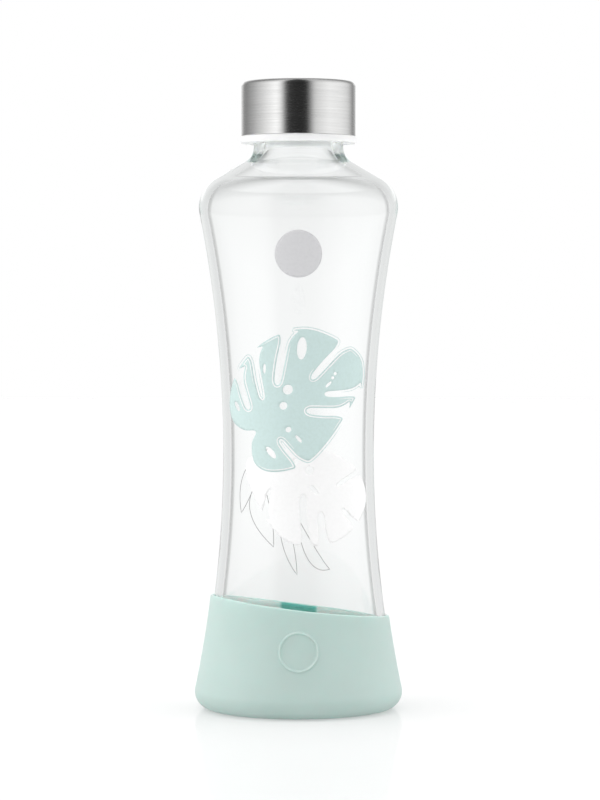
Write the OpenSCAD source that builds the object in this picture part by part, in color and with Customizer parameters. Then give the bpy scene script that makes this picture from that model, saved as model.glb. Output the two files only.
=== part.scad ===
// Glass water bottle: a waisted glass body with a screw neck, a stretched-on
// silicone base sleeve with a slanted rim, and a steel-clad screw cap.
// Origin: centre of the sleeve's underside, where the bottle stands. +Z is up, -Y is the front.

/* [Glass body] */
// Radius of the glass at the waist
waist_r = 29.5; // [28:0.5:31]
// Height of the waist above the floor
waist_z = 100; // [95:1:105]
// Radius of the inward curve below the waist, seen from the side
lower_curve_r = 450; // [430:5:470]
// Radius of the inward curve above the waist, seen from the side
upper_curve_r = 483; // [470:1:500]
// Largest radius of the shoulder
shoulder_r = 38.9; // [38:0.1:39.5]
// Radius of the shoulder's outer rounding, seen from the side
shoulder_round = 13; // [11:0.5:15]
// Radius of the same rounding on the inside of the glass
shoulder_inner = 11.2; // [10:0.2:12]
// Slope of the shoulder above level, in degrees
shoulder_slope = 30; // [25:1:35]
// Thickness of the glass wall
wall = 2.9; // [2.4:0.1:3.2]
// Thickness of the glass floor
glass_floor = 4.5; // [3.5:0.5:6]

/* [Neck] */
// Outer radius of the neck between its thread ridges
neck_r = 17.4; // [17.2:0.1:17.6]
// Radius of the bore through the neck
bore_r = 13.3; // [12.5:0.1:13.8]
// Radius of the hollow between shoulder and neck, seen from the side
neck_fillet = 7; // [4:0.5:8]
// Height of the mouth's rim
mouth_z = 240.5; // [239:0.5:241]

/* [Screw thread] */
// Distance that one turn lifts the cap
pitch = 4.2; // [3.8:0.1:4.4]
// Turns of ridge on the neck, and in the cap
thread_turns = 1.5; // [1:0.25:1.75]
// Radius of the neck ridge's crest
neck_crest_r = 18.7; // [18.5:0.1:18.8]
// Radius of the cap ridge's crest
cap_crest_r = 17.9; // [17.8:0.1:18.1]
// Height of the neck ridge's lower end
neck_thread_z = 227.2; // [226:0.2:229]

/* [Cap] */
// Radius of the steel shell
shell_r = 22.25; // [22:0.05:22.4]
// Thickness of the steel
shell_wall = 0.5; // [0.4:0.1:0.6]
// Height of the steel shell's lower edge
shell_z = 223.75; // [223:0.25:225]
// Height of the whole bottle, to the top of the cap
total_h = 245; // [244.5:0.1:245.5]
// Rounding of the shell's top edge
shell_round = 1.8; // [1:0.2:2.5]
// Radius of the plastic insert's bore
insert_bore_r = 19.2; // [19.1:0.1:19.4]
// Radius of the plastic flange that shows below the steel
flange_r = 22.55; // [22.3:0.05:22.8]
// Height of the insert's lower face
insert_z = 221; // [220.5:0.25:222]
// Thickness of the sealing washer
seal_h = 1.9; // [1.5:0.1:2.1]
// Inner radius of the sealing washer
seal_bore_r = 13.8; // [13.5:0.1:14.5]

/* [Base sleeve] */
// Thickness of the silicone
sleeve_wall = 1.4; // [1.2:0.1:1.8]
// Rounding of the sleeve's bottom edge
sleeve_corner = 6.7; // [6:0.1:8]
// Height of the slanted rim on the bottle's axis
rim_z = 39.7; // [38:0.1:41]
// Fall of the rim for each millimetre to the right, at the axis
rim_fall_x = 0.119; // [0.1:0.001:0.13]
// Fall of the rim towards the back, in degrees
rim_tilt_back = 3.2; // [0:0.1:5]
// Radius of the rim's sweeping curve, seen from the front
rim_curve_r = 737; // [600:1:900]
// Outer radius of the raised ring on the sleeve's front
badge_r = 7.6; // [6:0.1:8]
// Width of the raised ring's line
badge_line = 0.7; // [0.5:0.1:1]
// Height of the raised ring's centre
badge_z = 26; // [24:0.5:28]
// How far the ring stands proud
badge_relief = 0.45; // [0.2:0.05:0.5]

/* [Hidden] */
$fn = 96;
curve_fn = 720;           // facets of the very large circles
fit_gap = 0.1;            // between the glass and the silicone, all round
slip_gap = 0.05;          // between cap parts that touch in use
thread_root_w = 1.9;      // ridge width where it leaves the wall
thread_crest_w = 0.8;     // ridge width at its crest
thread_steps = 24;        // sections of ridge in one turn
thread_fade = 3;          // sections over which a ridge rises from the wall
thread_sink = 0.4;        // how deep a ridge's foot is set into its wall
thread_drop = 1.3;        // cap ridge below neck ridge, flank to flank, cap closed
insert_round = 0.35;      // edge rounding of the plastic flange
punt_r = 25;              // radius of the hollow under the glass
punt_h = 1;               // its height
far = 300;                // longer than the bottle

glass_corner = sleeve_corner - sleeve_wall - fit_gap;
floor_corner = 7;
throat_fillet = 10;
seal_z = mouth_z + slip_gap;
roof_z = seal_z + seal_h + slip_gap;
insert_r = shell_r - shell_wall - slip_gap;
insert_top = total_h - shell_wall - slip_gap;

// ---- Side outline of the waisted body, as true arcs -------------------------------------

lower_cx = waist_r + lower_curve_r;
upper_cx = waist_r + upper_curve_r;
shoulder_c = [
    shoulder_r - shoulder_round,
    waist_z + sqrt(pow(upper_curve_r + shoulder_round, 2)
                   - pow(upper_cx - shoulder_r + shoulder_round, 2))
];
slope_normal = [sin(shoulder_slope), cos(shoulder_slope)];

// The point at distance d from point a on the way to point b
function towards(a, b, d) = a + (b - a) * d / norm(b - a);

// Centre of a bottom rounding of radius r, on a floor at height z, for an outline set in by inset
function corner_centre(inset, z, r) = [
    lower_cx - sqrt(pow(lower_curve_r + inset + r, 2) - pow(waist_z - z - r, 2)),
    z + r
];

// Centre of a shoulder rounding of radius r, for an outline set in by inset
function shoulder_centre(inset, r) =
    let (foot = (slope_normal * shoulder_c + shoulder_round - inset - r) * slope_normal,
         down = [slope_normal[1], -slope_normal[0]],
         reach = upper_curve_r + inset + r,
         p = foot - [upper_cx, waist_z])
    foot - (p * down + sqrt(pow(p * down, 2) - p * p + reach * reach)) * down;

// Centre of the hollow rounding between the shoulder's slope and a neck of radius r
function hollow_centre(inset, r, fillet) =
    let (on_slope = shoulder_c + (shoulder_round - inset) * slope_normal,
         x = r + fillet)
    [x, (slope_normal * on_slope + fillet - slope_normal[0] * x) / slope_normal[1]];

module big_circle(x, r, z_from, z_to) {
    intersection() {
        translate([x, waist_z]) circle(r = r, $fn = curve_fn);
        translate([0, z_from]) square([far, z_to - z_from]);
    }
}

// The body's outline set in by inset: floor at floor_z, bottom rounding corner, shoulder
// rounding shoulder, open neck of radius r up to top_z
module body_outline(inset, floor_z, corner, shoulder, r, fillet, top_z) {
    c = corner_centre(inset, floor_z, corner);
    s = shoulder_centre(inset, shoulder);
    h = hollow_centre(inset, r, fillet);
    lower_c = [lower_cx, waist_z];
    upper_c = [upper_cx, waist_z];
    difference() {
        union() {
            polygon([
                [0, floor_z], [c[0], floor_z],
                towards(c, lower_c, corner),
                towards(s, upper_c, shoulder),
                s + shoulder * slope_normal,
                h - fillet * slope_normal,
                [r, h[1]], [r, top_z], [0, top_z]
            ]);
            translate(c) circle(r = corner);
            translate(s) circle(r = shoulder);
        }
        big_circle(lower_cx, lower_curve_r + inset, floor_z, waist_z);
        big_circle(upper_cx, upper_curve_r + inset, waist_z, s[1]);
        translate(h) circle(r = fillet);
    }
}

// ---- Screw ridge --------------------------------------------------------------------------

// One helical ridge from the wall at root_r to crest_r, its lower end at height z.
// It points outwards where crest_r is the larger, and inwards where it is the smaller.
module screw_ridge(root_r, crest_r, z) {
    way = sign(crest_r - root_r);
    steps = thread_steps * thread_turns;
    foot_r = root_r - way * thread_sink;
    points = [
        for (i = [0 : steps])
            let (a = 360 * i / thread_steps,
                 rise = min(1, i / thread_fade, (steps - i) / thread_fade),
                 tip_r = root_r + (crest_r - root_r) * rise - way * thread_sink / 2 * (1 - rise),
                 mid = z + pitch * i / thread_steps)
            for (p = [[foot_r, -thread_root_w], [tip_r, -thread_crest_w],
                      [tip_r, thread_crest_w], [foot_r, thread_root_w]])
                [p[0] * cos(a), p[0] * sin(a), mid + p[1] / 2]
    ];
    sides = [
        for (i = [0 : steps - 1], k = [0 : 3])
            let (a = 4 * i + k, b = 4 * i + (k + 1) % 4)
            for (f = [[a, b, b + 4], [a, b + 4, a + 4]]) f
    ];
    last = 4 * steps;
    ends = [[0, 2, 1], [0, 3, 2], [last, last + 1, last + 2], [last, last + 2, last + 3]];
    outward = concat(sides, ends);
    polyhedron(points, way > 0 ? outward : [for (f = outward) [f[0], f[2], f[1]]], convexity = 6);
}

// ---- Parts --------------------------------------------------------------------------------

module glass_bottle() {
    rim = (neck_r - bore_r) / 2;
    color([0.86, 0.94, 0.92, 0.45])
    union() {
        rotate_extrude()
        difference() {
            union() {
                body_outline(0, sleeve_wall, glass_corner, shoulder_round, neck_r, neck_fillet,
                             mouth_z - rim);
                translate([neck_r - rim, mouth_z - rim]) circle(r = rim);
            }
            body_outline(wall, sleeve_wall + glass_floor, floor_corner, shoulder_inner, bore_r,
                         throat_fillet, mouth_z + 1);
            punt_outline();
        }
        screw_ridge(neck_r, neck_crest_r, neck_thread_z);
    }
}

// The shallow round hollow under the glass floor
module punt_outline() {
    dish_r = (punt_r * punt_r + punt_h * punt_h) / (2 * punt_h);
    intersection() {
        translate([0, sleeve_wall + punt_h - dish_r]) circle(r = dish_r, $fn = curve_fn);
        translate([0, sleeve_wall - 1]) square([punt_r + 5, punt_h + 2]);
    }
}

module sleeve_skin(inset, floor_z, corner) {
    body_outline(inset, floor_z, corner, shoulder_round - inset, neck_r, neck_fillet, mouth_z);
}

module base_sleeve() {
    out = fit_gap + sleeve_wall;
    keep_h = 52;
    color([0.76, 0.88, 0.85])
    difference() {
        union() {
            rotate_extrude()
            difference() {
                intersection() {
                    sleeve_skin(-out, 0, sleeve_corner);
                    square([far, keep_h]);
                }
                intersection() {
                    sleeve_skin(-fit_gap, sleeve_wall - fit_gap, glass_corner + fit_gap);
                    translate([0, sleeve_wall]) square([far, keep_h]);
                }
            }
            badge_ring();
        }
        rim_cutter();
    }
}

// The large lying cylinder whose underside cuts the sleeve's slanted, gently sweeping rim
module rim_cutter() {
    low_x = rim_fall_x * rim_curve_r;
    low_z = rim_z - low_x * low_x / (2 * rim_curve_r);
    translate([low_x, 0, low_z + rim_curve_r / cos(rim_tilt_back)])
    rotate([90 - rim_tilt_back, 0, 0])
    cylinder(r = rim_curve_r, h = far, center = true, $fn = curve_fn);
}

// A plain raised ring on the sleeve's front
module badge_ring() {
    out = fit_gap + sleeve_wall;
    intersection() {
        rotate_extrude()
        difference() {
            intersection() {
                sleeve_skin(-out - badge_relief, 0, sleeve_corner);
                translate([20, badge_z - badge_r - 1]) square([30, 2 * badge_r + 2]);
            }
            sleeve_skin(-out / 2, 0, sleeve_corner);
        }
        translate([0, 0, badge_z])
        rotate([90, 0, 0])
        difference() {
            cylinder(r = badge_r, h = far);
            translate([0, 0, -1]) cylinder(r = badge_r - badge_line, h = far + 2);
        }
    }
}

module cap_seal() {
    color([0.93, 0.93, 0.91])
    translate([0, 0, seal_z])
    difference() {
        cylinder(r = insert_bore_r - 0.3, h = seal_h);
        translate([0, 0, -1]) cylinder(r = seal_bore_r, h = seal_h + 2);
    }
}

module cap_insert() {
    lead_in = 0.6;
    color([0.95, 0.95, 0.95])
    union() {
        rotate_extrude()
        difference() {
            union() {
                cup_outline(insert_r, insert_z, insert_top, shell_round - shell_wall);
                flange_outline(insert_z, shell_z - slip_gap);
            }
            translate([0, insert_z - 1]) square([insert_bore_r, roof_z - insert_z + 1]);
            polygon([[0, insert_z - 1], [insert_bore_r + lead_in + 1, insert_z - 1],
                     [insert_bore_r, insert_z + lead_in], [0, insert_z + lead_in]]);
        }
        screw_ridge(insert_bore_r, cap_crest_r, neck_thread_z - thread_drop);
    }
}

// Half outline of the flange under the steel edge, with its outer corners rounded
module flange_outline(z_low, z_high) {
    square_r = flange_r - insert_round;
    translate([0, z_low]) square([square_r, z_high - z_low]);
    translate([0, z_low + insert_round]) square([flange_r, z_high - z_low - 2 * insert_round]);
    for (z = [z_low + insert_round, z_high - insert_round])
        translate([square_r, z]) circle(r = insert_round);
}

module cap_shell() {
    color([0.72, 0.72, 0.72])
    rotate_extrude()
    difference() {
        cup_outline(shell_r, shell_z, total_h, shell_round);
        cup_outline(shell_r - shell_wall, shell_z - 1, total_h - shell_wall,
                    shell_round - shell_wall);
    }
}

// Half outline of a round block from z_low to z_high with its top edge rounded
module cup_outline(r, z_low, z_high, round_r) {
    union() {
        translate([0, z_low]) square([r, z_high - round_r - z_low]);
        translate([0, z_low]) square([r - round_r, z_high - z_low]);
        translate([r - round_r, z_high - round_r]) circle(r = round_r);
    }
}

base_sleeve();
glass_bottle();
cap_seal();
cap_insert();
cap_shell();
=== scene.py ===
"""Looks of the glass water bottle: glass, ink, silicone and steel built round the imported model."""
import math

import bpy
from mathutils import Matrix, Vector
from mathutils.geometry import delaunay_2d_cdt


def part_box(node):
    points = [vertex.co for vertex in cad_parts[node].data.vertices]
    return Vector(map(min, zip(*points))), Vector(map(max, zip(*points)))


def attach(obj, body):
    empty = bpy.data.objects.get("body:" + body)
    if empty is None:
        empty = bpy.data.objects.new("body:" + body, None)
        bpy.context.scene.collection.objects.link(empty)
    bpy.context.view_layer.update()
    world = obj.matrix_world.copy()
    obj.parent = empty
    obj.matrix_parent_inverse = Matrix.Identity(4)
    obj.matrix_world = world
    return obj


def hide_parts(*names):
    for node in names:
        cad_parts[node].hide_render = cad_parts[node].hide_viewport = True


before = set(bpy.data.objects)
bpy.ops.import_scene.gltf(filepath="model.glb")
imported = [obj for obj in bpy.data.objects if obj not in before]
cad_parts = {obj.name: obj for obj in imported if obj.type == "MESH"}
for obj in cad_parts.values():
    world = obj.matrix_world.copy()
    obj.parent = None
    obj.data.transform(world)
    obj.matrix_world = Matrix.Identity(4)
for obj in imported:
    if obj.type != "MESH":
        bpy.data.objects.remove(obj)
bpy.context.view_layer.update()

MM = 0.001
TURN = 2 * math.pi
QUARTER = math.pi / 2
TINY = 1e-6


def top_mm(node):
    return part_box(node)[1][2] / MM


def bottom_mm(node):
    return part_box(node)[0][2] / MM


def radius_mm(node):
    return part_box(node)[1][0] / MM


# ---- Sizes in millimetres, the same as the CAD's ------------------------------------------------

WAIST_R, WAIST_Z = 29.5, 100.0
LOWER_CURVE_R, UPPER_CURVE_R = 450.0, 483.0
SHOULDER_R, SHOULDER_ROUND, SHOULDER_INNER = 38.9, 13.0, 11.2
SHOULDER_SLOPE = math.radians(30)
GLASS_WALL, GLASS_FLOOR = 2.9, 4.5
NECK_R, BORE_R = 17.4, 13.3
NECK_FILLET, THROAT_FILLET, FLOOR_CORNER = 7.0, 10.0, 7.0
PUNT_R, PUNT_H = 25.0, 1.0
MOUTH_Z = top_mm("glass_bottle")

PITCH, THREAD_TURNS = 4.2, 1.5
THREAD_ROOT_W, THREAD_CREST_W = 1.9, 0.8
THREAD_FADE, THREAD_MARGIN = math.radians(45), 1.2
NECK_CREST_R, CAP_CREST_R = 18.7, 17.9
NECK_THREAD_Z, THREAD_DROP = 227.2, 1.3

SHELL_R, SHELL_WALL, SHELL_ROUND = radius_mm("cap_shell"), 0.5, 1.8
SHELL_Z, TOTAL_H = bottom_mm("cap_shell"), top_mm("cap_shell")
INSERT_BORE_R, FLANGE_R = 19.2, radius_mm("cap_insert")
INSERT_Z, INSERT_TOP = bottom_mm("cap_insert"), top_mm("cap_insert")
SEAL_Z, SEAL_TOP, SEAL_BORE_R = bottom_mm("cap_seal"), top_mm("cap_seal"), 13.8
SLIP_GAP, FIT_GAP = 0.05, 0.1
EDGE_ROUND = 0.35

SLEEVE_WALL, SLEEVE_CORNER, LIP_ROUND = 1.4, 6.7, 0.4
RIM_Z, RIM_FALL_X, RIM_CURVE_R = 39.7, 0.119, 737.0
RIM_FALL_BACK = math.tan(math.radians(3.2))
BADGE_R, BADGE_Z, BADGE_LINE, BADGE_RELIEF = 7.6, 26.0, 0.7, 0.45

# Columns of faces round the glass and round each piece of the cap, and rows over a screw ridge
GLASS_COLUMNS, CAP_COLUMNS, THREAD_ROWS = 256, 192, 58

LOWER_C = (WAIST_R + LOWER_CURVE_R, WAIST_Z)
UPPER_C = (WAIST_R + UPPER_CURVE_R, WAIST_Z)
SHOULDER_REACH = UPPER_CURVE_R + SHOULDER_ROUND
SHOULDER_X = SHOULDER_R - SHOULDER_ROUND
SHOULDER_C = (
    SHOULDER_X,
    WAIST_Z + math.sqrt(SHOULDER_REACH**2 - (UPPER_C[0] - SHOULDER_X) ** 2),
)
SLOPE_NORMAL = (math.sin(SHOULDER_SLOPE), math.cos(SHOULDER_SLOPE))


# ---- Outlines, as lists of (radius, height) in millimetres ------------------------------------


def arc(centre, r, start, end, steps):
    """Points on an arc from angle start to angle end, in radians from +r towards +z."""
    return [
        (
            centre[0] + r * math.cos(start + (end - start) * i / steps),
            centre[1] + r * math.sin(start + (end - start) * i / steps),
        )
        for i in range(steps + 1)
    ]


def angle_to(a, b):
    """The direction from point a to point b, in radians."""
    return math.atan2(b[1] - a[1], b[0] - a[0])


def line(a, b, steps):
    """Points on the straight line from a to b."""
    return [
        (a[0] + (b[0] - a[0]) * i / steps, a[1] + (b[1] - a[1]) * i / steps)
        for i in range(steps + 1)
    ]


def smooth_step(share):
    """A share from 0 to 1, clipped and eased at both ends."""
    share = max(0.0, min(1.0, share))
    return share * share * (3 - 2 * share)


def corner_centre(inset, floor_z, r):
    """Centre of the bottom rounding of radius r, for an outline set in by inset."""
    reach = LOWER_CURVE_R + inset + r
    return (
        LOWER_C[0] - math.sqrt(reach**2 - (WAIST_Z - floor_z - r) ** 2),
        floor_z + r,
    )


def shoulder_centre(inset, r):
    """Centre of a shoulder rounding of radius r, for an outline set in by inset."""
    offset = sum(n * c for n, c in zip(SLOPE_NORMAL, SHOULDER_C)) + SHOULDER_ROUND - inset - r
    foot = (SLOPE_NORMAL[0] * offset, SLOPE_NORMAL[1] * offset)
    down = (SLOPE_NORMAL[1], -SLOPE_NORMAL[0])
    p = (foot[0] - UPPER_C[0], foot[1] - UPPER_C[1])
    reach, along = UPPER_CURVE_R + inset + r, p[0] * down[0] + p[1] * down[1]
    back = along + math.sqrt(along**2 - p[0] ** 2 - p[1] ** 2 + reach**2)
    return (foot[0] - back * down[0], foot[1] - back * down[1])


def hollow_centre(inset, r, fillet):
    """Centre of the hollow rounding between the shoulder's slope and a neck of radius r."""
    out = SHOULDER_ROUND - inset
    on_slope = sum(n * (c + out * n) for n, c in zip(SLOPE_NORMAL, SHOULDER_C))
    x = r + fillet
    return (x, (on_slope + fillet - SLOPE_NORMAL[0] * x) / SLOPE_NORMAL[1])


def wall_radius(z, inset):
    """Radius of the waisted wall at height z, set in by inset."""
    centre, r = (LOWER_C, LOWER_CURVE_R) if z < WAIST_Z else (UPPER_C, UPPER_CURVE_R)
    return centre[0] - math.sqrt((r + inset) ** 2 - (z - WAIST_Z) ** 2)


def body_outline(inset, floor_z, corner, shoulder, neck_r, fillet):
    """Outline from the foot of the bottom rounding to the neck, set in by inset."""
    c = corner_centre(inset, floor_z, corner)
    h = hollow_centre(inset, neck_r, fillet)
    s = shoulder_centre(inset, shoulder)
    to_lower, to_upper = angle_to(c, LOWER_C), angle_to(s, UPPER_C)
    slope_angle = QUARTER - SHOULDER_SLOPE
    return (
        arc(c, corner, -QUARTER, to_lower, 14)
        + arc(LOWER_C, LOWER_CURVE_R + inset, math.pi + to_lower, math.pi, 40)[1:]
        + arc(UPPER_C, UPPER_CURVE_R + inset, math.pi, math.pi + to_upper, 44)[1:]
        + arc(s, shoulder, to_upper, slope_angle, 26)[1:]
        + arc(h, fillet, slope_angle - math.pi, -math.pi, 16)
    )


# ---- Meshes ------------------------------------------------------------------------------------


def new_object(name, verts, faces):
    """A smooth-shaded object from points in millimetres."""
    mesh = bpy.data.meshes.new(name)
    mesh.from_pydata([tuple(c * MM for c in v) for v in verts], [], faces)
    mesh.validate()
    mesh.update()
    obj = bpy.data.objects.new(name, mesh)
    bpy.context.collection.objects.link(obj)
    mesh.shade_smooth()
    return obj


def on_circle(r, angle, z):
    return (r * math.cos(angle), r * math.sin(angle), z)


def skin(rings, closed=False):
    """Vertices and faces of the skin over rings of points. A ring of one point is a pole.
    Seen from outside, the rings run anticlockwise from below; closed joins the last to the first."""
    verts, rows = [], []
    for ring in rings:
        rows.append(range(len(verts), len(verts) + len(ring)))
        verts += ring
    faces = []
    for lower, upper in list(zip(rows, rows[1:])) + ([(rows[-1], rows[0])] if closed else []):
        columns = max(len(lower), len(upper))
        for k in range(columns):
            n = (k + 1) % columns
            if len(lower) == 1:
                faces.append((lower[0], upper[n], upper[k]))
            elif len(upper) == 1:
                faces.append((lower[k], lower[n], upper[0]))
            else:
                faces.append((lower[k], lower[n], upper[n], upper[k]))
    return verts, faces


def lathe(outline, columns, swell=None, closed=False):
    """An outline of (radius, height) turned round the axis. swell(angle, r, z) gives the radius
    that a point really has at an angle."""
    angles = [TURN * k / columns for k in range(columns)]
    rings = []
    for r, z in outline:
        if r < TINY:
            rings.append([(0, 0, z)])
        else:
            rings.append([on_circle(swell(a, r, z) if swell else r, a, z) for a in angles])
    return skin(rings, closed)


def ridge(angle, z, start_z, height):
    """How far a screw ridge stands out of its wall at an angle and a height."""
    best = 0.0
    for turn in range(int(THREAD_TURNS) + 1):
        along = angle + TURN * turn
        if along > TURN * THREAD_TURNS:
            continue
        off = abs(z - start_z - PITCH * along / TURN)
        flank = (THREAD_ROOT_W / 2 - off) / ((THREAD_ROOT_W - THREAD_CREST_W) / 2)
        rise = min(1, along / THREAD_FADE, (TURN * THREAD_TURNS - along) / THREAD_FADE)
        best = max(best, height * rise * smooth_step(flank))
    return best


# ---- Glass --------------------------------------------------------------------------------------


def punt():
    """The shallow dish under the glass, from the axis outwards."""
    r = (PUNT_R**2 + PUNT_H**2) / (2 * PUNT_H)
    top = SLEEVE_WALL + PUNT_H
    return arc((0, top - r), r, QUARTER, QUARTER - math.asin(PUNT_R / r), 12)


def bottle_glass():
    """The blown body as one closed skin: outside, screw ridge, fire-polished rim, inside."""
    rim = (NECK_R - BORE_R) / 2
    corner = SLEEVE_CORNER - SLEEVE_WALL - FIT_GAP
    outside = body_outline(0, SLEEVE_WALL, corner, SHOULDER_ROUND, NECK_R, NECK_FILLET)
    neck = line(outside[-1], (NECK_R, NECK_THREAD_Z - THREAD_MARGIN), 6)[1:]
    thread_top = NECK_THREAD_Z + PITCH * THREAD_TURNS + THREAD_MARGIN
    neck += line(neck[-1], (NECK_R, thread_top), THREAD_ROWS)[1:]
    mouth = arc((NECK_R - rim, MOUTH_Z - rim), rim, 0, math.pi, 18)
    inside = body_outline(
        GLASS_WALL, SLEEVE_WALL + GLASS_FLOOR, FLOOR_CORNER, SHOULDER_INNER, BORE_R, THROAT_FILLET
    )
    outline = punt() + outside + neck + mouth + inside[::-1]
    outline.append((0, SLEEVE_WALL + GLASS_FLOOR))

    def swell(angle, r, z):
        if abs(r - NECK_R) > TINY:
            return r
        return r + ridge(angle, z, NECK_THREAD_Z, NECK_CREST_R - NECK_R)

    return new_object("bottle_glass", *lathe(outline, GLASS_COLUMNS, swell))


# ---- Base sleeve --------------------------------------------------------------------------------

# Steps between columns, in radians, and between rows: fine over the raised ring, coarse elsewhere
COLUMN_STEPS, ROW_STEPS = (0.0042, 0.024), (0.16, 0.8)
INSIDE_ROWS = 24


def rim_height(x, y):
    """Height of the sleeve's slanted rim over a point of the floor."""
    low_x = RIM_FALL_X * RIM_CURVE_R
    sweep = ((x - low_x) ** 2 - low_x**2) / (2 * RIM_CURVE_R)
    return RIM_Z + sweep - RIM_FALL_BACK * y


def rim_at(angle, inset):
    """Radius and height of the sleeve's rim at an angle, on its wall set in by inset."""
    z = RIM_Z
    for _ in range(6):
        r = wall_radius(z, inset)
        z = rim_height(r * math.cos(angle), r * math.sin(angle))
    return wall_radius(z, inset), z


def badge_rise(angle, r, z):
    """How far the plain raised ring stands out of the sleeve's front."""
    from_front = math.remainder(angle + QUARTER, TURN)
    if abs(from_front) > QUARTER:
        return 0.0
    middle = BADGE_R - BADGE_LINE / 2
    off = abs(math.hypot(r * math.sin(from_front), z - BADGE_Z) - middle)
    foot, flank = BADGE_LINE * 0.75, BADGE_LINE * 0.45
    return BADGE_RELIEF * smooth_step((foot - off) / flank)


def spread(start, end, fine_from, fine_to, fine, coarse):
    """Values from start to end, fine steps apart between fine_from and fine_to."""
    values, at = [], start
    while at < end - coarse / 2:
        values.append(at)
        at += fine if fine_from <= at < fine_to else coarse
    return values


def sleeve_column(angle, heights, level_top, inside_low):
    """The sleeve's wall at an angle, as (radius, height): up its outside, over its rolled lip and
    down its inside. Its rows run level up to level_top, and lean with the rim above it."""
    outer_r, outer_z = rim_at(angle, -SLEEVE_WALL - FIT_GAP)
    inner_r, inner_z = rim_at(angle, -FIT_GAP)
    lip_low = outer_z - LIP_ROUND
    column = []
    for z in heights:
        if z > level_top:
            z = level_top + (z - level_top) * (lip_low - level_top) / (RIM_Z - level_top)
        r = wall_radius(z, -SLEEVE_WALL - FIT_GAP)
        column.append((r + badge_rise(angle, r, z), z))
    column += arc((outer_r - LIP_ROUND, lip_low), LIP_ROUND, 0, QUARTER, 4)
    column.append(((outer_r + inner_r) / 2, (outer_z + inner_z) / 2))
    column += arc((inner_r + LIP_ROUND, inner_z - LIP_ROUND), LIP_ROUND, QUARTER, math.pi, 4)
    start = inner_z - LIP_ROUND
    for i in range(1, INSIDE_ROWS):
        z = start + (inside_low - start) * i / INSIDE_ROWS
        column.append((wall_radius(z, -FIT_GAP), z))
    return column


def sleeve_skin():
    """The silicone sleeve as one closed skin. Its inside has the second material."""
    out, inner_corner = FIT_GAP + SLEEVE_WALL, SLEEVE_CORNER - SLEEVE_WALL
    front, badge_reach = -QUARTER, BADGE_R + 1
    half = badge_reach / wall_radius(BADGE_Z, -out)
    angles = spread(front - math.pi, front + math.pi, front - half, front + half, *COLUMN_STEPS)
    foot = corner_centre(-out, 0, SLEEVE_CORNER)
    hollow = corner_centre(-FIT_GAP, SLEEVE_WALL, inner_corner)
    foot_end, hollow_end = angle_to(foot, LOWER_C), angle_to(hollow, LOWER_C)
    low = foot[1] + SLEEVE_CORNER * math.sin(foot_end)
    inside_low = hollow[1] + inner_corner * math.sin(hollow_end)
    heights = spread(low, RIM_Z, BADGE_Z - badge_reach, BADGE_Z + badge_reach, *ROW_STEPS)[1:]
    bottom = line((0, 0), (foot[0], 0), 6)[1:]
    bottom += arc(foot, SLEEVE_CORNER, -QUARTER, foot_end, 16)[1:]
    floor = arc(hollow, inner_corner, hollow_end, -QUARTER, 12)
    floor += line((hollow[0], SLEEVE_WALL), (0, SLEEVE_WALL), 6)[1:-1]

    rings = [[(0, 0, 0)]]
    rings += [[on_circle(r, a, z) for a in angles] for r, z in bottom]
    level_top = BADGE_Z + BADGE_R + 0.5
    columns = [sleeve_column(a, heights, level_top, inside_low) for a in angles]
    for row in zip(*columns):
        rings.append([on_circle(r, a, z) for a, (r, z) in zip(angles, row)])
    first_inside = len(angles) * (len(rings) - INSIDE_ROWS - 1) + 1
    rings += [[on_circle(r, a, z) for a in angles] for r, z in floor]
    rings.append([(0, 0, SLEEVE_WALL)])
    obj = new_object("sleeve_skin", *skin(rings))
    for face in obj.data.polygons:
        face.material_index = int(min(face.vertices) >= first_inside)
    return obj


# ---- Cap ----------------------------------------------------------------------------------------


def cap_steel():
    """The deep-drawn steel cup, with a fine rolled lower edge."""
    edge = SHELL_WALL / 2
    inner_r, inner_round = SHELL_R - SHELL_WALL, SHELL_ROUND - SHELL_WALL
    inner_top, centre = TOTAL_H - SHELL_WALL, SHELL_R - SHELL_ROUND
    outline = line((0, inner_top), (centre, inner_top), 10)
    outline += arc((centre, inner_top - inner_round), inner_round, QUARTER, 0, 10)[1:]
    outline += line(outline[-1], (inner_r, SHELL_Z + edge), 24)[1:]
    outline += arc((SHELL_R - edge, SHELL_Z + edge), edge, math.pi, TURN, 10)[1:]
    outline += line(outline[-1], (SHELL_R, TOTAL_H - SHELL_ROUND), 24)[1:]
    outline += arc((centre, TOTAL_H - SHELL_ROUND), SHELL_ROUND, 0, QUARTER, 14)[1:]
    outline += line(outline[-1], (0, TOTAL_H), 10)[1:]
    return new_object("cap_steel", *lathe(outline, CAP_COLUMNS))


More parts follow.
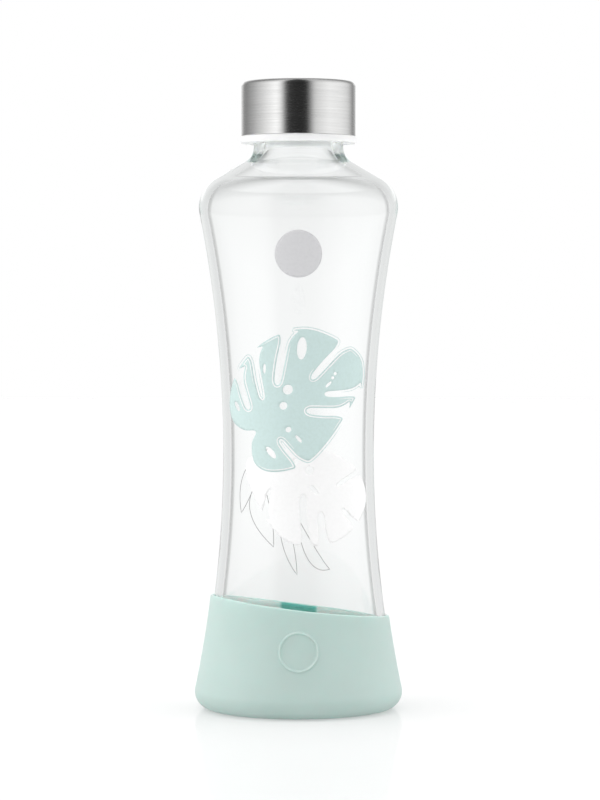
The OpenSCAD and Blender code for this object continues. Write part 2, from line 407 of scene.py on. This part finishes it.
def cap_liner():
    """The plastic insert: roof, bore with its inner screw ridge, and the flange under the steel."""
    roof = SEAL_TOP + SLIP_GAP
    outer_r = SHELL_R - SHELL_WALL - SLIP_GAP
    top_round = SHELL_ROUND - SHELL_WALL
    flange_top, lead_in, nick = SHELL_Z - SLIP_GAP, 0.6, 0.1
    edge_r = FLANGE_R - EDGE_ROUND
    ridge_low = NECK_THREAD_Z - THREAD_DROP
    ridge_top = ridge_low + PITCH * THREAD_TURNS
    outline = line((0, roof), (INSERT_BORE_R, roof), 8)
    outline += line(outline[-1], (INSERT_BORE_R, ridge_top + THREAD_MARGIN), 6)[1:]
    outline += line(outline[-1], (INSERT_BORE_R, ridge_low - THREAD_MARGIN), THREAD_ROWS)[1:]
    outline += line(outline[-1], (INSERT_BORE_R, INSERT_Z + lead_in), 4)[1:]
    outline += [(INSERT_BORE_R + lead_in, INSERT_Z), (edge_r, INSERT_Z)]
    outline += arc((edge_r, INSERT_Z + EDGE_ROUND), EDGE_ROUND, -QUARTER, 0, 6)[1:]
    outline += arc((edge_r, flange_top - EDGE_ROUND), EDGE_ROUND, 0, QUARTER, 6)
    outline += [(outer_r + nick, flange_top), (outer_r, flange_top + nick)]
    outline += line(outline[-1], (outer_r, INSERT_TOP - top_round), 12)[1:]
    centre = (outer_r - top_round, INSERT_TOP - top_round)
    outline += arc(centre, top_round, 0, QUARTER, 8)[1:]
    outline += line(outline[-1], (0, INSERT_TOP), 8)[1:]

    def swell(angle, r, z):
        if abs(r - INSERT_BORE_R) > TINY:
            return r
        return r - ridge(angle, z, ridge_low, INSERT_BORE_R - CAP_CREST_R)

    return new_object("cap_liner", *lathe(outline, CAP_COLUMNS, swell))


def cap_washer():
    """The flat sealing washer, its four edges rounded."""
    inner, outer = SEAL_BORE_R + EDGE_ROUND, radius_mm("cap_seal") - EDGE_ROUND
    low, high = SEAL_Z + EDGE_ROUND, SEAL_TOP - EDGE_ROUND
    outline = []
    for quarter, centre in enumerate([(inner, low), (outer, low), (outer, high), (inner, high)]):
        start = math.pi + quarter * QUARTER
        outline += arc(centre, EDGE_ROUND, start, start + QUARTER, 5)
    return new_object("cap_washer", *lathe(outline, CAP_COLUMNS, closed=True))


# ---- Ink: flat shapes in millimetres, wrapped on the glass ---------------------------------------

# Points nearer than WELD become one; rows of a fill are ROW_SHARE of its spacing apart; a leaf's
# slits bend by SLIT_BEND towards the stalk
WELD, ROW_SHARE, SLIT_BEND = 1e-4, 0.87, 1.6


def on_glass(u, z, height):
    """Point of the glass u to the right of the front and height proud of it. The art is drawn
    nearly as the front view shows it, so it stretches a little as it runs round the glass."""
    r = wall_radius(z, 0)
    angle = u / r + (u / r) ** 3 / 6 - QUARTER
    return on_circle(r + height, angle, z)


def through(a, b, c, d, t):
    """The value at share t between b and c of a smooth curve through a, b, c and d."""
    steady, bent, twisted = c - a, 2 * a - 5 * b + 4 * c - d, 3 * b - a - 3 * c + d
    return b + (steady * t + bent * t**2 + twisted * t**3) / 2


def smooth_loop(points, steps=7):
    """A closed curve through the points."""
    loop, n = [], len(points)
    for i in range(n):
        near = [points[(i + k) % n] for k in (-1, 0, 1, 2)]
        for step in range(steps):
            loop.append(tuple(through(*values, step / steps) for values in zip(*near)))
    return loop


def oval(x, y, long_r, short_r, angle=0.0, steps=28):
    """A closed ellipse round (x, y), its long radius at an angle to the x axis."""
    c, s = math.cos(angle), math.sin(angle)
    loop = []
    for i in range(steps):
        p = long_r * math.cos(TURN * i / steps)
        q = short_r * math.sin(TURN * i / steps)
        loop.append((x + p * c - q * s, y + p * s + q * c))
    return loop


def within(x, y, loop):
    """Whether the point lies inside the closed loop."""
    inside = False
    for (ax, ay), (bx, by) in zip(loop, loop[1:] + loop[:1]):
        if (ay > y) != (by > y) and x < (bx - ax) * (y - ay) / (by - ay) + ax:
            inside = not inside
    return inside


def slit(x, y, angle, margin, width, bend, steps=24):
    """A slit from its round inner end at (x, y) out to the margin, where it flares."""
    c, s = math.cos(angle), math.sin(angle)
    nose_share, flare_length, past = 0.12, 7.0, 1.0
    length = 2.0
    while within(x + length * c, y + length * s, margin):
        length += 0.5
    length += past
    sides = ([], [])
    for i in range(steps + 1):
        t = i / steps
        nose = math.sqrt(1 - max(0, 1 - t / nose_share) ** 2)
        flare = max(0, 1 - length * (1 - t) / flare_length)
        half = nose * (0.75 + 1.2 * t * (1 - t)) * width / 2 + width * flare**2.4
        along, across = length * t, bend * t * t
        for side, way in zip(sides, (1, -1)):
            off = across + way * half
            side.append((x + along * c - off * s, y + along * s + off * c))
    return sides[0] + sides[1][:0:-1]


def rounded(loop, spacing=0.4, reach=2):
    """The closed loop with its points evenly spaced, and its corners softened by averaging each
    point with the few on either side of it."""
    ends = loop[1:] + loop[:1]
    left, even = 0.0, []
    for a, b in zip(loop, ends):
        length = math.dist(a, b)
        while left < length:
            t = left / length
            even.append((a[0] + (b[0] - a[0]) * t, a[1] + (b[1] - a[1]) * t))
            left += spacing
        left -= length
    n, span = len(even), range(-reach, reach + 1)
    return [
        tuple(sum(even[(i + k) % n][axis] for k in span) / len(span) for axis in (0, 1))
        for i in range(n)
    ]


def moved_out(loop, offset):
    """The closed loop moved outwards by offset, without the knots where it would fold over."""
    moved, n = [], len(loop)
    nearest = 0.97 * abs(offset)
    for i, (x, y) in enumerate(loop):
        tangent = (Vector(loop[(i + 1) % n]) - Vector(loop[i - 1])).normalized()
        point = (x + tangent.y * offset, y - tangent.x * offset)
        if min(math.dist(point, other) for other in loop) > nearest:
            moved.append(point)
    return moved


def finger(root, belly, tip, back):
    """A pointed leaf finger: one side swells through belly to the tip, the other returns."""
    loop, steps = [], 20
    for start, bend, end in ((root, belly, tip), (tip, back, root)):
        for i in range(steps):
            t = i / steps
            near, mid, far = (1 - t) ** 2, 2 * t * (1 - t), t * t
            loop.append(tuple(near * a + mid * b + far * c for a, b, c in zip(start, bend, end)))
    return loop


def fill(margin, cuts, spacing=1.3):
    """Triangles that fill the margin's inside but not the cuts, small enough to follow the glass."""
    points, edges = [], []
    for loop in [margin, *cuts]:
        first = len(points)
        points += loop
        edges += [(first + i, first + (i + 1) % len(loop)) for i in range(len(loop))]
    (left, right), (y, top) = ((min(values), max(values)) for values in zip(*margin))
    row = 0
    while y < top:
        x = left + (row % 2) * spacing / 2
        while x < right:
            if within(x, y, margin):
                points.append((x, y))
            x += spacing
        y += spacing * ROW_SHARE
        row += 1
    found = delaunay_2d_cdt([Vector(p) for p in points], edges, [], 0, WELD)
    verts, faces = [tuple(v) for v in found[0]], []
    for face in found[2]:
        x = sum(verts[i][0] for i in face) / len(face)
        y = sum(verts[i][1] for i in face) / len(face)
        if within(x, y, margin) and not any(within(x, y, cut) for cut in cuts):
            faces.append(tuple(face))
    return verts, faces


def edge_pairs(faces):
    """The fill's own boundary edges, each running with the fill on its left."""
    directed = {(f[i], f[(i + 1) % len(f)]) for f in faces for i in range(len(f))}
    return sorted(e for e in directed if (e[1], e[0]) not in directed)


def boundary_loops(verts, faces, fewest=12):
    """The closed outlines of a fill, leaving out scraps of fewest points or less."""
    after = {}
    for a, b in edge_pairs(faces):
        after.setdefault(a, []).append(b)
    loops = []
    while after:
        start = min(after)
        loop, at = [], start
        while at in after:
            loop.append(verts[at])
            following = after[at].pop()
            if not after[at]:
                del after[at]
            at = following
        if len(loop) > fewest:
            loops.append(loop)
    return loops


class Leaf:
    """A plain split leaf: a smooth margin with slits, and holes. Its own x runs along the midrib
    from the stalk, and y across it. A slit is (x, y, lean, width), its lean counted in degrees
    from the midrib towards the slit's own side; a hole is (x, y, long radius, short radius,
    lean). The finished margin and holes are in the art's millimetres."""

    def __init__(self, at, lean, size, margin, slits, holes):
        self.at, self.lean, self.size = at, math.radians(lean), size
        edge = smooth_loop(margin)
        cuts = []
        for x, y, from_midrib, width in slits:
            way = 1 if y > 0 else -1
            angle, bend = way * math.radians(from_midrib), -SLIT_BEND * way
            cuts.append(self.place(slit(x, y, angle, edge, width, bend)))
        split = boundary_loops(*fill(self.place(edge), cuts))
        self.margin = rounded(max(split, key=len))
        self.holes = [
            self.place(oval(x, y, long_r, short_r, math.radians(angle)))
            for x, y, long_r, short_r, angle in holes
        ]

    def place(self, loop):
        """The loop turned, sized and moved from the leaf's own axes to the art's."""
        c, s = math.cos(self.lean) * self.size, math.sin(self.lean) * self.size
        return [(self.at[0] + x * c - y * s, self.at[1] + x * s + y * c) for x, y in loop]


def ink_sheet(name, verts, faces, low, high):
    """A thin closed layer of ink from low to high above the glass."""
    used = sorted({i for f in faces for i in f})
    place = {old: new for new, old in enumerate(used)}
    n = len(used)
    points = [on_glass(*verts[i], high) for i in used] + [on_glass(*verts[i], low) for i in used]
    solid = [tuple(place[i] for i in f) for f in faces]
    solid += [tuple(place[i] + n for i in reversed(f)) for f in faces]
    solid += [(place[a], place[a] + n, place[b] + n, place[b]) for a, b in edge_pairs(faces)]
    return new_object(name, points, solid)


def stretch(loop, start, end):
    """The stretch of a loop between two shares of its length."""
    return loop[int(start * len(loop)) : int(end * len(loop))]


def ink_lines(name, paths, width, low, high, closed=True):
    """Thin bands of ink along the paths. Open ones taper at both ends."""
    verts, faces = [], []
    for path in paths:
        n, first = len(path), len(verts)
        for i, (qx, qy) in enumerate(path):
            before, after = i - 1, (i + 1) % n
            if not closed:
                before, after = max(0, i - 1), min(n - 1, i + 1)
            tangent = Vector(path[after]) - Vector(path[before])
            tangent.normalize()
            normal = (tangent.y, -tangent.x)
            half = width / 2
            if not closed:
                half *= 0.1 + 0.9 * math.sqrt(max(0, math.sin(math.pi * i / (n - 1))))
            for side, height in ((1, low), (1, high), (-1, high), (-1, low)):
                off = side * half
                verts.append(on_glass(qx + normal[0] * off, qy + normal[1] * off, height))
        for i in range(n if closed else n - 1):
            a, b = first + 4 * i, first + 4 * ((i + 1) % n)
            faces += [(a + k, a + (k + 1) % 4, b + (k + 1) % 4, b + k) for k in range(4)]
        if not closed:
            last = first + 4 * (n - 1)
            faces += [(first + 3, first + 2, first + 1, first), (last, last + 1, last + 2, last + 3)]
    return new_object(name, verts, faces)


# ---- Materials ----------------------------------------------------------------------------------


def linear(*rgb):
    """A colour given as 0 to 255 sRGB screen values, as the linear colour that shaders take."""
    return tuple(((v / 255 + 0.055) / 1.055) ** 2.4 if v > 10 else v / 3294.6 for v in rgb) + (1.0,)


# How far each colour spreads inside silicone, and how fine its moulded grain is
SILICONE_GLOW, GRAIN_SCALE = (0.6, 1.0, 0.92), 2600.0


class Graph:
    """A node tree under construction."""

    def __init__(self, owner):
        owner.use_nodes = True
        self.tree = owner.node_tree
        self.tree.nodes.clear()

    def add(self, kind, inputs=None, **settings):
        node = self.tree.nodes.new("ShaderNode" + kind)
        for name, value in settings.items():
            setattr(node, name, value)
        for name, value in (inputs or {}).items():
            self.feed(node.inputs[name], value)
        return node

    def feed(self, socket, value):
        if isinstance(value, bpy.types.NodeSocket):
            self.tree.links.new(value, socket)
        else:
            socket.default_value = value

    def math(self, operation, *values):
        return self.add("Math", dict(enumerate(values)), operation=operation).outputs[0]

    def product(self, first, *others):
        for value in others:
            first = self.math("MULTIPLY", first, value)
        return first

    def position(self):
        return self.add("TexCoord").outputs["Object"]

    def split(self, vector):
        return self.add("SeparateXYZ", {0: vector}).outputs

    def noise(self, scale, detail=3.0, vector=None, roughness=0.5):
        inputs = {"Scale": scale, "Detail": detail, "Roughness": roughness}
        inputs["Vector"] = vector or self.position()
        return self.add("TexNoise", inputs).outputs[0]

    def remap(self, value, low, high, from_low=0.3, from_high=0.7):
        """low to high as the value goes from from_low to from_high. Most of a noise is in between
        the two that are given here."""
        inputs = {0: value, 1: from_low, 2: from_high, 3: low, 4: high}
        return self.add("MapRange", inputs).outputs[0]

    def blend(self, factor, first, second):
        node = self.add("Mix", data_type="RGBA")
        self.feed(node.inputs[0], factor)
        self.feed(node.inputs[6], first)
        self.feed(node.inputs[7], second)
        return node.outputs[2]

    def bump(self, height, strength, distance):
        inputs = {"Height": height, "Strength": strength, "Distance": distance}
        return self.add("Bump", inputs).outputs[0]

    def principled(self, inputs, volume=None):
        shader = self.add("BsdfPrincipled", inputs)
        links = {"Surface": shader.outputs[0]}
        if volume:
            links["Volume"] = volume
        return self.add("OutputMaterial", links)


def new_material(name):
    material = bpy.data.materials.new(name)
    return material, Graph(material)


def glass_material():
    """Clear soda-lime glass: hardly wavy, and faintly green where light runs along its wall."""
    material, g = new_material("clear_glass")
    waves = g.noise(22.0, 1.0)
    absorb = g.add("VolumeAbsorption", {"Color": (0.80, 0.93, 0.90, 1), "Density": 15.0})
    g.principled(
        {
            "Base Color": (1, 1, 1, 1),
            "Roughness": 0.0,
            "IOR": 1.47,
            "Transmission Weight": 1.0,
            "Normal": g.bump(waves, 0.06, 0.002),
        },
        absorb.outputs[0],
    )
    return material


def outer_silicone_material():
    """Satin silicone with a fine moulded grain and slight clouding."""
    material, g = new_material("silicone_outside")
    clouds = g.remap(g.noise(38.0, 4.0), 0, 1)
    grain = g.noise(GRAIN_SCALE, 2.0)
    g.principled(
        {
            "Base Color": g.blend(clouds, linear(187, 206, 201), linear(191, 210, 205)),
            "Roughness": g.remap(grain, 0.5, 0.66),
            "Specular IOR Level": 0.32,
            "Sheen Weight": 0.05,
            "Sheen Roughness": 0.45,
            "Subsurface Weight": 0.6,
            "Subsurface Radius": SILICONE_GLOW,
            "Subsurface Scale": 0.003,
            "Normal": g.bump(grain, 0.35, 0.00006),
        }
    )
    return material


def inner_silicone_material():
    """The sleeve's inside: pale near its rim, where painted reflection stands in for the glass's
    whitish glare, with a deeper teal strip at the back where that painted glare is left out, and mint
    low down."""
    material, g = new_material("silicone_inside")
    x, y, z = g.split(g.position())
    # Painted reflection: this narrow strip at the back is left out of the painted glare and keeps a
    # deeper teal
    unglared_strip = g.remap(g.math("ABSOLUTE", x), 1, 0, 0.0068, 0.0082)
    behind = g.math("GREATER_THAN", y, 0.0)
    high = g.remap(z, 0, 1, 0.014, 0.026)
    clouds = g.remap(g.noise(60.0), 0, 1)
    # Painted reflection: the pale tone near the rim stands in for the glass's whitish glare
    pale = g.blend(clouds, linear(225, 228, 224), linear(231, 234, 230))
    ground = g.blend(high, linear(178, 210, 202), pale)
    patch = g.product(unglared_strip, behind, high)
    g.principled(
        {
            "Base Color": g.blend(patch, ground, linear(126, 192, 186)),
            "Roughness": g.remap(g.noise(GRAIN_SCALE), 0.45, 0.6),
            "Specular IOR Level": 0.3,
            "Subsurface Weight": 0.8,
            "Subsurface Radius": SILICONE_GLOW,
            "Subsurface Scale": 0.004,
        }
    )
    return material


def steel_material():
    """Stainless steel brushed round the axis, on the side and on the top alike."""
    material, g = new_material("brushed_steel")
    x, y, z = g.split(g.position())
    radius = g.math("SQRT", g.math("ADD", g.product(x, x), g.product(y, y)))
    across = g.math("ADD", z, radius)

    def streaks(around_scale, across_scale, detail, roughness):
        """Noise drawn out round the axis, as brushing leaves it."""
        ends = {0: g.product(x, around_scale), 1: g.product(y, around_scale)}
        ends[2] = g.product(across, across_scale)
        return g.noise(1.0, detail, g.add("CombineXYZ", ends).outputs[0], roughness)

    scratches = streaks(90, 9000, 3.0, 0.65)
    bands = streaks(18, 1500, 2.0, 0.5)
    tone = g.math("ADD", g.product(scratches, 0.6), g.product(bands, 0.4))
    dull, bright = (0.64, 0.64, 0.635, 1), (0.78, 0.78, 0.775, 1)
    tangent = g.add("Tangent", direction_type="RADIAL", axis="Z")
    g.principled(
        {
            "Base Color": g.blend(g.remap(tone, 0, 1), dull, bright),
            "Metallic": 1.0,
            "Roughness": g.remap(tone, 0.3, 0.2),
            "Anisotropic": 0.8,
            "Anisotropic Rotation": 0.25,
            "Tangent": tangent.outputs[0],
            "Normal": g.bump(scratches, 0.25, 0.00002),
        }
    )
    return material


def plastic_material(name, light, shade, subsurface):
    """Moulded plastic with a spark-eroded grain, a little light passing into it."""
    material, g = new_material(name)
    grain = g.noise(1900.0, 2.0)
    g.principled(
        {
            "Base Color": g.blend(g.remap(g.noise(90.0), 0, 1), shade, light),
            "Roughness": g.remap(grain, 0.32, 0.48),
            "Subsurface Weight": subsurface,
            "Subsurface Radius": (1.0, 1.0, 0.95),
            "Subsurface Scale": 0.003,
            "Normal": g.bump(grain, 0.2, 0.00004),
        }
    )
    return material


def ink_material(name, full, thin):
    """Screen-printed ink, fired on: pinholes and a mesh-fine unevenness in its cover."""
    material, g = new_material(name)
    cover = g.noise(900.0, 4.0)
    g.principled(
        {
            "Base Color": g.blend(g.remap(cover, 0, 1, 0.3, 0.6), thin, full),
            "Roughness": g.remap(cover, 0.5, 0.36),
            "Specular IOR Level": 0.35,
            "Normal": g.bump(cover, 0.2, 0.00003),
        }
    )
    return material


# ---- Studio: camera, surround and floor ----------------------------------------------------------


def studio_camera():
    """A long lens a little above the bottle's middle, looking slightly down, as in the photo."""
    data = bpy.data.cameras.new("photo_camera")
    data.sensor_width, data.lens = 36.0, 133.0
    camera = bpy.data.objects.new("photo_camera", data)
    camera.location = (0.0006, -1.157, 0.1566)
    camera.rotation_euler = (math.radians(90 - 1.771), 0, 0)
    bpy.context.collection.objects.link(camera)
    bpy.context.scene.camera = camera


# What brushed steel reflects: degrees round from the front, left to right, and brightness there
SOFTBOXES = [
    (-180, 0.78), (-158, 0.7), (-146, 0.35), (-130, 0.3), (-105, 0.5), (-80, 0.85),
    (-58, 1.2), (-45, 1.4), (-36, 1.05), (-28, 0.3), (-23, 0.03), (-14, 0.02),
    (11, 0.02), (18, 0.03), (24, 0.3), (34, 0.85), (50, 1.05), (66, 1.2),
    (96, 1.1), (118, 0.88), (143, 0.28), (158, 0.5), (180, 0.78),
]


def steel_light(g, round_front, share, z):
    """Soft boxes round the cap with a dark gap at the front, dimmer overhead, and a faint low band
    behind."""
    boxes = g.add("ValToRGB", {"Fac": g.math("ADD", g.math("DIVIDE", round_front, TURN), 0.5)})
    ramp = boxes.color_ramp.elements
    for degrees, _ in SOFTBOXES[1:-1]:
        ramp.new(degrees / 360 + 0.5)
    for element, (_, light) in zip(ramp, SOFTBOXES):
        element.color = (light, light, light, 1)
    overhead = g.remap(z, 1, 0.6, 0.3, 0.8)
    low_back = g.product(g.remap(z, 0, 1, 0.09, 0.12), g.remap(z, 1, 0, 0.2, 0.26))
    backdrop = g.product(g.remap(share, 0, 0.5, 0.8, 0.88), low_back)
    return g.math("ADD", g.product(boxes.outputs[0], overhead), backdrop)


def glass_light(g, round_front, z, path):
    """White with dark flags that draw the edges of clear glass, dimmer overhead and at table
    height. The flags stand every 45 degrees, so that the glass looks alike from all sides. A ray
    that was reflected on its way has wider, paler flags every 90 degrees, and a ray from a matt
    surface behind the glass meets a steady light."""
    straight = g.math("COSINE", g.product(round_front, 8.0))
    centre = g.remap(straight, 0.995, 0.97, 0.94, 0.995)
    flank = g.remap(straight, 0.22, 1.0, -1.0, -0.5)
    table = g.remap(z, 0.9, 1.0, -0.11, -0.065)
    haze = g.remap(z, 1.0, 0.93, 0.01, 0.045)
    ceiling = g.product(haze, g.remap(z, 1.0, 0.5, 0.13, 0.25))
    direct = g.product(centre, ceiling, table, flank)
    square = g.math("COSINE", g.product(round_front, 4.0))
    in_wall = g.product(g.remap(square, 0.85, 0.97, -0.7, 0.1), g.remap(z, 1, 0.85, 0.12, 0.45))
    reflected = g.math("GREATER_THAN", path.outputs["Glossy Depth"], 0.5)
    from_matt = g.math("GREATER_THAN", path.outputs["Diffuse Depth"], 0.5)
    return g.blend(from_matt, g.blend(reflected, direct, in_wall), (3.2, 3.2, 3.2, 1))


def matt_light(g, round_front, share, x, z):
    """An overcast sky for matt surfaces: dark a little right of the front, darker behind than at
    the sides, slightly brighter on the left, and brightest overhead."""
    aside = g.math("ABSOLUTE", g.math("SUBTRACT", round_front, 0.15))
    front = g.product(g.remap(aside, 0.31, 1.45, 0.25, 0.95), g.remap(x, 1.06, 0.97, -0.5, 0.8))
    behind = g.remap(share, 1.0, 0.65, 0.6, 0.85)
    return g.product(front, behind, g.remap(z, 1.0, 1.5, 0.3, 0.9))


def studio_world():
    """A surround of which each kind of ray has its own part; the camera sees it plain white."""
    world = bpy.data.worlds.new("studio")
    bpy.context.scene.world = world
    g = Graph(world)
    x, y, z = g.split(g.add("TexCoord").outputs["Generated"])
    round_front = g.math("ARCTAN2", x, g.product(y, -1.0))
    share = g.math("DIVIDE", g.math("ABSOLUTE", round_front), math.pi)
    path = g.add("LightPath")
    light = matt_light(g, round_front, share, x, z)
    light = g.blend(path.outputs["Is Glossy Ray"], light, steel_light(g, round_front, share, z))
    light = g.blend(path.outputs["Is Transmission Ray"], light, glass_light(g, round_front, z, path))
    light = g.blend(path.outputs["Is Camera Ray"], light, (1, 1, 1, 1))
    background = g.add("Background", {"Color": light, "Strength": 1.0})
    g.add("OutputWorld", {"Surface": background.outputs[0]})


def studio_floor():
    """A sheet of white acrylic, lit a little from below so that shadows on it stay pale. It lies
    just under the part's lowest face, and reflections in the part and the view through its glass
    leave it out."""
    half, z = 4.0, -0.00003
    corners = [(-half, -half, z), (half, -half, z), (half, half, z), (-half, half, z)]
    mesh = bpy.data.meshes.new("floor")
    mesh.from_pydata(corners, [], [(0, 1, 2, 3)])
    floor = bpy.data.objects.new("floor", mesh)
    bpy.context.collection.objects.link(floor)
    material, g = new_material("white_floor")
    grain = g.blend(g.noise(240.0), (0.44, 0.44, 0.44, 1), (0.45, 0.45, 0.45, 1))
    milky = g.add("BsdfDiffuse", {"Color": grain})
    lit = g.add("Emission", {"Color": (1, 1, 1, 1), "Strength": 0.4})
    white = g.add("AddShader", {0: milky.outputs[0], 1: lit.outputs[0]})
    gloss = g.add("BsdfGlossy", {"Color": (1, 1, 1, 1), "Roughness": 0.07})
    both = g.add("MixShader", {0: 0.14, 1: white.outputs[0], 2: gloss.outputs[0]})
    g.add("OutputMaterial", {"Surface": both.outputs[0]})
    mesh.materials.append(material)
    floor.visible_glossy = False
    floor.visible_transmission = False


# ---- Putting it together --------------------------------------------------------------------------


def dress(obj, body, slot, *materials, stands_for=()):
    """Give the piece its materials, the body it rides on and the CAD nodes it replaces. Its slot is
    not used.
    """
    for material in materials:
        obj.data.materials.append(material)
    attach(obj, body)
    if stands_for:
        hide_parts(*stands_for)


# The printed art in millimetres: x to the right of the front, and height above the floor
DISC_Z, DISC_R = 177.4, 9
MINT_LEAF = dict(
    at=(-16.3, 109.6),
    lean=33,
    size=1.02,
    margin=[
        (0, 0), (-4, 3), (-6.5, 8.5), (-4.5, 15), (2, 21), (11, 25), (22, 26.5), (32, 24.5),
        (39, 20), (45, 11), (48.5, 1), (44, -7.5), (37, -11), (29, -14.5), (20, -18),
        (11, -20), (3, -19), (-4.5, -15), (-7, -9.5), (-4, -3),
    ],
    slits=[
        (2, 8, 80, 2.6), (8.5, 8, 72, 2.8), (16, 10, 50, 3.0), (28, 5, 18, 2.6),
        (29, -2, 35, 2.4), (20, -3.5, 40, 2.8), (6, -7, 88, 2.4),
    ],
    holes=[
        (14, 2.5, 1.5, 1.4, 0), (18.7, 6.7, 1.9, 1.8, 0), (10.7, -6, 1.1, 1, 0),
        (12, -11, 1.7, 0.6, -81), (31.5, 16.8, 4.2, 1.8, 52), (0.5, -9.7, 2.7, 1.1, -83),
        (15.6, 18, 1.8, 0.5, 55), (-1.6, 12, 2, 0.8, 85), (35.2, 1.2, 0.6, 0.6, 0),
        (36.8, 2, 0.6, 0.6, 0), (32.5, 0, 1.5, 0.5, 12),
    ],
)
WHITE_LEAF = dict(
    at=(-15, 99),
    lean=-27,
    size=1.0,
    margin=[
        (0, 2), (4, 9), (14, 13), (26, 15), (37, 13), (45, 6), (46, -3),
        (42, -13), (34, -20), (24, -23), (14, -20), (5, -14), (-2, -8), (-4, -2),
    ],
    slits=[
        (20.7, -3.8, 63, 2.5), (30, -7, 62, 2.6), (37, -2.5, 28, 1.7), (31, 4, 62, 1.4),
        (9, -8, 82, 1.5),
    ],
    holes=[(13, 6, 1.2, 1.2, 0), (19, 5, 1.5, 1.5, 0), (24, -1, 2.2, 0.7, -20)],
)
# Each pointed leaf as its root, the bulge of one side, its tip and the bulge of the other side
LINE_LEAVES = [
    ((-12, 103), (-26, 95), (-22.5, 78), (-17, 86)),
    ((-14, 92), (-26, 80), (-9.5, 65.5), (-9, 76)),
    ((-7, 84), (-9, 66), (-0.5, 55), (-1, 68)),
    ((-1, 78), (2, 54), (12, 57), (9, 60)),
]
# The stretches of the mint leaf's margin, as shares of its length, that have a stroke beside them
INNER_STROKES = [(0.04, 0.14), (0.2, 0.33), (0.42, 0.5), (0.6, 0.72), (0.8, 0.93)]
OUTER_STROKES = [(0.1, 0.2), (0.36, 0.45), (0.52, 0.6), (0.74, 0.84)]
STROKE_OFFSET = 0.75
# The lowest and highest face of each layer of ink, in millimetres above the glass
LINE_LAYER, DISC_LAYER, WHITE_LAYER = (0.01, 0.024), (0.01, 0.035), (0.028, 0.045)
MINT_LAYER, STROKE_LAYER = (0.05, 0.07), (0.075, 0.09)


def prints():
    """The ink on the glass. The white leaf lies over the line leaves, and the mint leaf over both."""
    mint = ink_material("ink_mint", linear(207, 228, 226), linear(203, 224, 221))
    white = ink_material("ink_white", linear(254, 254, 254), linear(251, 251, 251))
    grey = ink_material("ink_grey", linear(218, 218, 220), linear(214, 214, 216))
    line_grey = ink_material("ink_line", linear(150, 150, 150), linear(140, 140, 140))

    disc = fill(oval(0, DISC_Z, DISC_R, DISC_R, steps=72), [])
    dress(ink_sheet("print_disc", *disc, *DISC_LAYER), "bottle", "print_grey", grey)

    leaf = Leaf(**MINT_LEAF)
    shape = fill(leaf.margin, leaf.holes)
    dress(ink_sheet("print_leaf_mint", *shape, *MINT_LAYER), "bottle", "print_mint", mint)
    edge = moved_out(leaf.margin, -STROKE_OFFSET)
    paths = [stretch(edge, start, end) for start, end in INNER_STROKES]
    strokes = ink_lines("print_leaf_edge", paths, 0.42, *STROKE_LAYER, closed=False)
    dress(strokes, "bottle", "print_white", white)
    edge = moved_out(leaf.margin, STROKE_OFFSET)
    paths = [stretch(edge, start, end) for start, end in OUTER_STROKES]
    strokes = ink_lines("print_leaf_echo", paths, 0.3, *MINT_LAYER, closed=False)
    dress(strokes, "bottle", "print_mint", mint)

    leaf = Leaf(**WHITE_LEAF)
    shape = fill(leaf.margin, leaf.holes)
    dress(ink_sheet("print_leaf_white", *shape, *WHITE_LAYER), "bottle", "print_white", white)

    outlines = [finger(*points) for points in LINE_LEAVES]
    lines = ink_lines("print_leaf_line", outlines, 0.22, *LINE_LAYER)
    dress(lines, "bottle", "print_grey", line_grey)


def build():
    dress(bottle_glass(), "bottle", "glass", glass_material(), stands_for=["glass_bottle"])
    silicone = (outer_silicone_material(), inner_silicone_material())
    dress(sleeve_skin(), "sleeve", "silicone", *silicone, stands_for=["base_sleeve"])
    dress(cap_steel(), "cap", "brushed_steel", steel_material(), stands_for=["cap_shell"])
    white = plastic_material("white_plastic", (0.95, 0.95, 0.945, 1), (0.93, 0.93, 0.925, 1), 0.9)
    dress(cap_liner(), "cap", "white_plastic", white, stands_for=["cap_insert"])
    milky = plastic_material("seal_silicone", (0.80, 0.80, 0.77, 1), (0.76, 0.76, 0.73, 1), 0.35)
    dress(cap_washer(), "seal", "seal_silicone", milky, stands_for=["cap_seal"])
    prints()


build()
studio_camera()
studio_world()
studio_floor()
scene = bpy.context.scene
scene.view_settings.view_transform = "Standard"
scene.cycles.max_bounces = 64
scene.cycles.transmission_bounces = 48
scene.cycles.glossy_bounces = 48
scene.cycles.diffuse_bounces = 10
